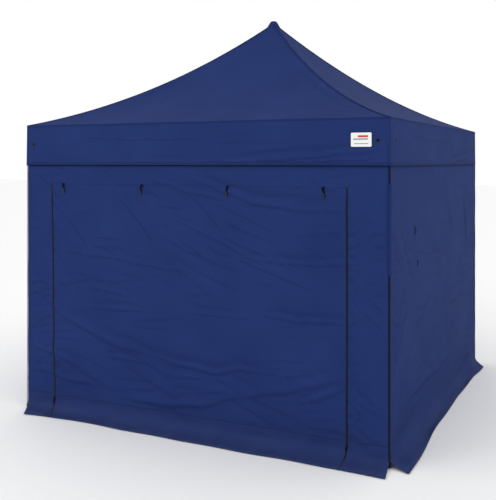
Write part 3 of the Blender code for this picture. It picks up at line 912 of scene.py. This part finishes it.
def repeated(name, lines, shape, pitch, finish):
    """A plain mesh of one shape repeated along several paths."""
    points, edges = [], []
    for line in lines:
        first = len(points)
        points += [tuple(p) for p in line]
        edges += [(first + i, first + i + 1) for i in range(len(line) - 1)]
    mesh = bpy.data.meshes.new(name)
    mesh.from_pydata(points, edges, [])
    guide = placed(name, mesh)
    step = guide.modifiers.new("repeat", "NODES")
    step.node_group = REPEAT
    values = {"Shape": shape, "Pitch": pitch, "Finish": finish}
    for item in REPEAT.interface.items_tree:
        if item.in_out == "INPUT" and item.name in values:
            step[item.identifier] = values[item.name]
    seen = guide.evaluated_get(bpy.context.evaluated_depsgraph_get())
    result = bpy.data.meshes.new_from_object(seen)
    bpy.data.objects.remove(guide, do_unlink=True)
    bpy.data.meshes.remove(mesh)
    return placed(name, result)


STITCH_LENGTH, STITCH_RADIUS, STITCH_PITCH = 0.0038, 0.0006, 0.0055
STITCH_FORM = ((-0.5, 0.35), (-0.2, 1.0), (0.2, 1.0), (0.5, 0.35))
TOOTH_SIZE, TOOTH_EDGE, TOOTH_PITCH = (0.0062, 0.0022, 0.0018), 0.0004, 0.0032


def small_shape(name, bm):
    """A little object that only the repeat tree uses."""
    return bpy.data.objects.new(name, mesh_of(name, bm))


def stitch_shape():
    """A short thread with rounded ends."""
    return loft([circle((0, 0, z * STITCH_LENGTH), (1, 0, 0), (0, 1, 0), STITCH_RADIUS * share, 4)
                 for z, share in STITCH_FORM])


def tooth_shape():
    bm = bmesh.new()
    bmesh.ops.create_cube(bm, size=1.0)
    bmesh.ops.scale(bm, vec=TOOTH_SIZE, verts=bm.verts)
    bmesh.ops.bevel(bm, geom=bm.edges, offset=TOOTH_EDGE, segments=1, affect="EDGES")
    return bm


STITCH = small_shape("stitch", stitch_shape())
TOOTH = small_shape("tooth", tooth_shape())


def stitches(name, lines):
    return repeated(name, lines, STITCH, STITCH_PITCH, thread)


def teeth_along(name, line):
    return repeated(name, [line], TOOTH, TOOTH_PITCH, zip_teeth)


# ---- trimmings of the roof

# Bands along a valance, from its hem up: (name, height above the hem, how far they lie off the
# cloth, width, thickness, bulge)
HEM_BAND = ("valance_hem", HEM / 2 + 0.004, 0.0008, HEM, 0.0014, 0.0006)
BINDING_BAND = ("valance_binding", 0.0030, 0.0010, 0.0048, 0.0016, 0.0006)
EAVE_BAND = ("eave_seam", VALANCE_DROP - 0.006, 0.0012, 0.012, 0.0014, 0.0005)
# Rows of stitches on a valance: (height above the hem, how far they lie off the cloth)
VALANCE_SEWN = ((0.0105, 0.0022), (HEM, 0.0022), (VALANCE_DROP - 0.012, 0.0010))
HIP_WIDTH = 0.020
HIP_SEWN = (-0.007, 0.007)


def on_valance(side, along, height, lift):
    """Points on a valance, at distances along it and a height above its hem."""
    v = np.full_like(along, (VALANCE_DROP - height) / VALANCE_DROP)
    off = valance_wrinkles(side, along, v) + lift
    return on_side(side, along, HALF + off, VALANCE_LOW + height)


def valance_line(side, height, lift, reach=HALF):
    return on_valance(side, spaced(-reach, reach, GRID), height, lift)


def valance_point(side, along, height, lift):
    return on_valance(side, np.array([along]), height, lift)[0]


def valance_band(side, band, finish, slot):
    part, height, lift, width, thickness, bulge = band
    line = valance_line(side, height, lift)
    with_side(side, slot, ribbon(f"{side}_{part}", line, -UP, width, finish, thickness, bulge))


def build_roof_trim():
    for side in SIDES:
        valance_band(side, HEM_BAND, roof_cloth, "roof_cloth")
        # Black on the front only: the binding plus a painted shadow line under the front valance.
        binding = black_binding_and_painted_shadow if side == "front" else navy_tape
        valance_band(side, BINDING_BAND, binding, "black_trim")
        rows = [valance_line(side, height, lift, HALF - 0.004) for height, lift in VALANCE_SEWN]
        with_side(side, "roof_cloth", stitches(f"{side}_valance_stitches", rows))
        valance_band(side, EAVE_BAND, roof_cloth, "roof_cloth")
    build_hip_seams()


def build_hip_seams():
    """A flat-felled seam down each hip, split where the crown ends."""
    order = list(SIDES)
    for side, neighbour in zip(order, order[1:] + order[:1]):
        out_a, _ = directions(side)
        out_b, _ = directions(neighbour)
        across = (out_b - out_a) / math.sqrt(2)
        for part, low, high in (("lower", CROWN, HALF - 0.002), ("upper", 0.03, CROWN)):
            s = spaced(low, high, GRID)
            line = s[:, None] * (out_a + out_b)[None, :]
            line[:, 2] = crown_height(s, s * math.sqrt(2)) + 0.0012
            seam = ribbon(f"{side}_{neighbour}_hip_seam_{part}", line, -across, HIP_WIDTH,
                          roof_cloth, 0.0014, 0.0012)
            if part == "upper":
                with_pole(seam)
                continue
            rows = [line + across * offset + UP * 0.0016 for offset in HIP_SEWN]
            with_roof(side, seam, stitches(f"{side}_{neighbour}_hip_stitches", rows))


# ---- eyelets, label, ties

RING_SIDES = 28
EYELETS = {"front": (-1.43, 1.422), "right": (-1.355, 1.40),
           "back": (-1.41, 1.41), "left": (-1.41, 1.41)}
EYELET_HEIGHT = 0.17     # above the valance's hem
EYELET_RIM = [(0.0075, -0.0010), (0.0072, 0.0012), (0.0085, 0.0026), (0.0110, 0.0028),
              (0.0138, 0.0018), (0.0145, 0.0004), (0.0140, -0.0010)]
# The eyelet's hole is a black disc: painted shade for the dark seen through it.
EYELET_SHADE_DISC = [(0.0078, 0.0), (0.0078, 0.0006), (0.0005, 0.0006), (0.0005, 0.0)]


def turned_ring(name, profile, centre, side, finish):
    """A turned part whose axis points out of a side; profile is (radius, outwards) points."""
    out, run = directions(side)
    loops = [circle(centre + out * depth, run, UP, radius, RING_SIDES)
             for radius, depth in profile]
    return lofted(name, loops, finish, closed=True)


def build_eyelets():
    for side, places in EYELETS.items():
        for number, along in enumerate(places, 1):
            centre = valance_point(side, along, EYELET_HEIGHT, 0.0012)
            # Each eyelet's hole is filled by a black disc, painted shade for the dark inside.
            for part, profile, finish in (("eyelet", EYELET_RIM, black_steel),
                                          ("eyelet_hole", EYELET_SHADE_DISC, zip_tape)):
                ring = turned_ring(f"{side}_{part}_{number}", profile, centre, side, finish)
                with_side(side, "black_trim", ring)


def flat_patch(name, side, centre, width, height, finish, lift=0.0, corner=0.004, thick=0.0008):
    """A small rectangle with cut corners, laid on a side's cloth."""
    out, run = directions(side)
    a, b, c = width / 2, height / 2, corner
    outline = [(-a, -b + c), (-a + c, -b), (a - c, -b), (a, -b + c),
               (a, b - c), (a - c, b), (-a + c, b), (-a, b - c)]
    loops = [[centre + run * x + UP * z + out * (lift + depth) for x, z in outline]
             for depth in (0.0, thick)]
    return lofted(name, loops, finish, smooth_shading=False)


LABEL_AT = (1.310, 0.175)    # along the front and above the valance's hem
# The label's stripes: (name, along and up from its middle, width, height, corner, finish)
STRIPES = [
    ("label_red_stripe", 0.012, 0.022, 0.070, 0.013, 0.002, label_red),
    ("label_grey_stripe", -0.004, 0.004, 0.100, 0.007, 0.002, label_grey),
    ("label_foot_stripe", 0.0, -0.026, 0.096, 0.004, 0.0012, label_grey),
]


def build_label():
    """A plain white label with a red and two grey stripes, sewn on the valance."""
    middle = valance_point("front", *LABEL_AT, 0.0035)
    pieces = [flat_patch("label", "front", middle, 0.140, 0.092, label_white)]
    for name, along, up, width, height, corner, finish in STRIPES:
        centre = middle + np.array([along, 0, up])
        pieces.append(flat_patch(name, "front", centre, width, height, finish, 0.0009, corner,
                                 0.0003))
    with_side("front", "label", *pieces)


def ring_tube(name, points, radius, finish, sides=6):
    """A round tube along a closed loop of points."""
    points = [Vector(p) for p in points]
    normal = None
    loops = []
    for i, point in enumerate(points):
        tangent = (points[(i + 1) % len(points)] - points[i - 1]).normalized()
        if normal is None:
            normal = tangent.orthogonal().normalized()
        normal = (normal - tangent * normal.dot(tangent)).normalized()
        loops.append(circle(point, normal, tangent.cross(normal), radius, sides))
    return lofted(name, loops, finish, closed=True)


TOGGLE = [(-0.5, 0.45), (-0.47, 0.8), (-0.38, 1.0), (-0.15, 0.92), (-0.06, 0.72),
          (0.06, 0.72), (0.15, 0.92), (0.38, 1.0), (0.47, 0.8), (0.5, 0.45)]
TOGGLE_LENGTH, TOGGLE_RADIUS, TOGGLE_SIDES = 0.034, 0.0062, 12


def toggle(name, centre, axis):
    """A short barrel with a waist and rounded ends."""
    axis = Vector(axis).normalized()
    first = axis.orthogonal().normalized()
    loops = [circle(Vector(centre) + axis * along * TOGGLE_LENGTH, first, axis.cross(first),
                    TOGGLE_RADIUS * share, TOGGLE_SIDES) for along, share in TOGGLE]
    return lofted(name, loops, black_nylon)


TIES = (-1.13, -0.40, 0.32, 1.04)
TIE_TOP = DOOR_TOP - 0.003
TIE_DROP, TIE_WIDTH, TIE_LEAN = 0.036, 0.013, 0.010
# Ties of the right wall: (along, height, drop)
SIDE_TIES = ((-0.838, 1.515, 0.06), (-0.790, 1.260, 0.04))


def build_ties():
    """Four loops with toggles at the door's head, which hold it once it is rolled up."""
    out, run = directions("front")
    for number, along in enumerate(TIES):
        name = f"tie_{number + 1}"
        lean = np.random.RandomState(200 + number).uniform(-TIE_LEAN, TIE_LEAN)
        top = surface_point("front", along, TIE_TOP, 0.001)
        strap = [top - UP * TIE_DROP * t + out * (0.003 + 0.009 * math.sin(math.pi * t))
                 + run * lean * t for t in np.linspace(0, 1, 9)]
        end = strap[-1]
        loop = [end - UP * (0.012 - 0.014 * math.cos(t)) + run * 0.008 * math.sin(t)
                + out * 0.004 * math.cos(t / 2)
                for t in np.linspace(0, 2 * math.pi, 20, endpoint=False)]
        with_side(
            "front", "black_trim",
            flat_patch(f"{name}_patch", "front", top - UP * 0.004, 0.022, 0.018, webbing,
                       0.0008, 0.002, 0.0012),
            ribbon(f"{name}_strap", strap, -run, TIE_WIDTH, webbing, 0.0016),
            toggle(f"{name}_toggle", end - UP * 0.020 + out * 0.004, (lean * 14, 0, 1)),
            ring_tube(f"{name}_loop", loop, 0.0016, webbing), body="door")


def build_side_ties():
    """Two short ties on the right wall, which hold back whatever hangs inside."""
    out, run = directions("right")
    for number, (along, height, drop) in enumerate(SIDE_TIES, 1):
        top = surface_point("right", along, height, 0.0015)
        line = [top - UP * drop * t + out * (0.001 + 0.006 * math.sin(math.pi * t))
                for t in np.linspace(0, 1, 8)]
        strap = ribbon(f"side_tie_{number}", line, -run, 0.014, webbing, 0.0016)
        with_side("right", "black_trim", strap)


# ---- zips

TAPE_MIDDLE, TAPE_WIDTH = 0.0030, 0.0055     # of half a zip's tape, from the slit
CORNER_TAPE = 0.012
PULL_DROP, PULL_WIDTH = 0.038, 0.008
FLAP_SPAN = (1.23, 1.84)     # heights between which a fold hides the front right zip
FLAP_WIDTH = 0.022


def zip_half(name, line, sign, body):
    """Half a zip beside a slit of the front: a tape, one row of teeth and its stitches."""
    out, run = directions("front")
    tape_line = line + run * sign * TAPE_MIDDLE + out * 0.0008
    sewn = tape_line + run * sign * 0.0060 + out * 0.0006
    with_side(
        "front", "black_trim",
        ribbon(f"{name}_tape", tape_line, -run, TAPE_WIDTH, zip_tape, 0.001),
        teeth_along(f"{name}_teeth", line + run * sign * 0.0016 + out * 0.0022),
        stitches(f"{name}_stitches", [sewn]), body=body)


def build_zips():
    for hand, along, sign in (("left", DOOR_LEFT, 1), ("right", DOOR_RIGHT, -1)):
        line = surface_line("front", along)
        line = line[line[:, 2] < DOOR_TOP + 0.01]
        zip_half(f"{hand}_zip_door", line, sign, "door")
        zip_half(f"{hand}_zip_wall", line, -sign, None)
        build_puller(f"{hand}_zip", line[-12])
    for corner, (x, y) in CORNERS.items():
        build_corner_zip(corner, x, y)


def build_puller(name, point):
    """The zip's slider and its pull tab, near the ground."""
    out, run = directions("front")
    centre = point + out * 0.005
    line = [centre + out * (0.007 + 0.004 * math.sin(math.pi * t)) - UP * PULL_DROP * t
            for t in np.linspace(0, 1, 6)]
    with_side(
        "front", "black_trim",
        flat_patch(f"{name}_slider", "front", centre, 0.013, 0.018, black_steel, 0.0,
                   0.003, 0.006),
        ribbon(f"{name}_pull", line, -run, PULL_WIDTH, webbing, 0.002))


def build_corner_zip(corner, x, y):
    """The zip that joins two walls, standing just outside the corner."""
    heights = spaced(0.006, VALANCE_LOW + 0.004, GRID)[::-1]
    out = np.array([x, y, 0.0]) / math.sqrt(2)
    across = np.array([-y, x, 0.0]) / math.sqrt(2)
    sway = 0.0016 * waves(heights, heights * 0, 300 + int(2 * x + y), 0.5)
    line = np.array([x * WALL_HALF, y * WALL_HALF, 0.0]) + out * (0.0010 + np.abs(sway))[:, None]
    line[:, 2] = heights
    pieces = [(ribbon(f"{corner}_zip_tape", line, -across, CORNER_TAPE, zip_tape, 0.0014, 0.001),
               "black_trim"),
              (teeth_along(f"{corner}_zip_teeth", line + out * 0.0026), "black_trim")]
    if corner == "front_right":
        # Part of this zip lies under a fold of the front wall's cloth.
        low, high = FLAP_SPAN
        covered = line[(heights > low) & (heights < high)] + out * 0.006 - across * 0.002
        pieces.append((ribbon(f"{corner}_zip_flap", covered, -across, FLAP_WIDTH, wall_cloth,
                              0.0012, 0.003), "wall_cloth"))
    for piece, slot in pieces:
        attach(piece, f"{corner}_outer_leg")


# ---- seams and hems of the walls

SEWN_LIFT = 0.0012
FRONT_SEAM = 0.125       # height of the front skirt's seam; the others sit at SKIRT_RISE


def build_wall_trim():
    for side in SIDES:
        out, _ = directions(side)
        columns, points, _, _ = SURFACES[side]
        parts = {"": (None, np.ones(len(columns), bool))}
        if side == "front":
            parts = {"_left": (None, columns <= DOOR_LEFT),
                     "_door": ("door", (columns >= DOOR_LEFT) & (columns <= DOOR_RIGHT)),
                     "_right": (None, columns >= DOOR_RIGHT)}
        fold = nearest(SECTION[:, 1], FRONT_SEAM if side == "front" else SKIRT_RISE)
        for part, (body, mask) in parts.items():
            hem_line = points[-1][mask] + UP * SEWN_LIFT - out * HEM / 2
            rows = [points[-3][mask] + UP * 0.0016, points[fold][mask] + out * SEWN_LIFT,
                    points[fold - 1][mask] + out * SEWN_LIFT]
            seam_line = points[fold - 1][mask] + out * SEWN_LIFT / 2
            with_side(
                side, "wall_cloth",
                ribbon(f"{side}_skirt_hem{part}", hem_line, -out, HEM, wall_cloth, 0.0012, 0.0004),
                stitches(f"{side}_skirt_stitches{part}", rows),
                ribbon(f"{side}_skirt_seam{part}", seam_line, -UP, 0.008, seam_cloth, 0.0008,
                       0.0003), body=body)


# ---- frame finishes

def finish_frame():
    slots = {"alloy": anodised, "steel": galvanised, "moulding": black_nylon}
    for entry in frame["record"]["subparts"]:
        finish = slots.get(entry["material_slot"])
        if finish is None:
            continue
        node = frame["nodes"][entry["node"]]
        node.data.materials.clear()
        node.data.materials.append(finish)


# ---- studio

FLOOR_REACH, FLOOR_DROP = 60.0, -0.001
AIM = Vector((0, 0, 1.3))
# Lamps: (name, place, watts, size)
LAMPS = [("key", (-5.0, -8.5, 7.0), 150.0, 5.0), ("fill", (8.5, -3.0, 5.0), 30.0, 5.0)]


def build_studio():
    floor = bpy.data.meshes.new("floor")
    corners = [(x * FLOOR_REACH, y * FLOOR_REACH, FLOOR_DROP)
               for x, y in ((-1, -1), (1, -1), (1, 1), (-1, 1))]
    floor.from_pydata(corners, [], [(0, 1, 2, 3)])
    mat, tree, shader = tree_of("pale floor")
    fill(tree, shader, {"Base Color": (0.95, 0.95, 0.95, 1.0), "Roughness": 0.9})
    floor.materials.append(mat)
    placed("floor", floor)

    scene = bpy.context.scene
    world = bpy.data.worlds.new("studio")
    world.use_nodes = True
    fill(world.node_tree, world.node_tree.nodes["Background"],
         {"Color": (1.0, 1.0, 1.0, 1.0), "Strength": 1.0})
    scene.world = world
    scene.view_settings.view_transform = "Standard"
    for name, place, energy, size in LAMPS:
        lamp = bpy.data.lights.new(name, "AREA")
        lamp.energy = energy
        lamp.size = size
        light = placed(name, lamp)
        light.location = place
        light.rotation_euler = (AIM - Vector(place)).to_track_quat("-Z", "Y").to_euler()

    lens = bpy.data.cameras.new("camera")
    lens.lens = 56.5
    lens.sensor_width = 36.0
    lens.shift_x = -0.026
    lens.shift_y = -0.1768
    camera = placed("camera", lens)
    camera.location = (2.910, -6.403, 1.972)
    camera.rotation_euler = (math.radians(90), 0, math.radians(25.37))
    scene.camera = camera


build_studio()
finish_frame()
build_walls()
build_roof()
build_roof_trim()
build_wall_trim()
build_zips()
build_eyelets()
build_label()
build_ties()
build_side_ties()
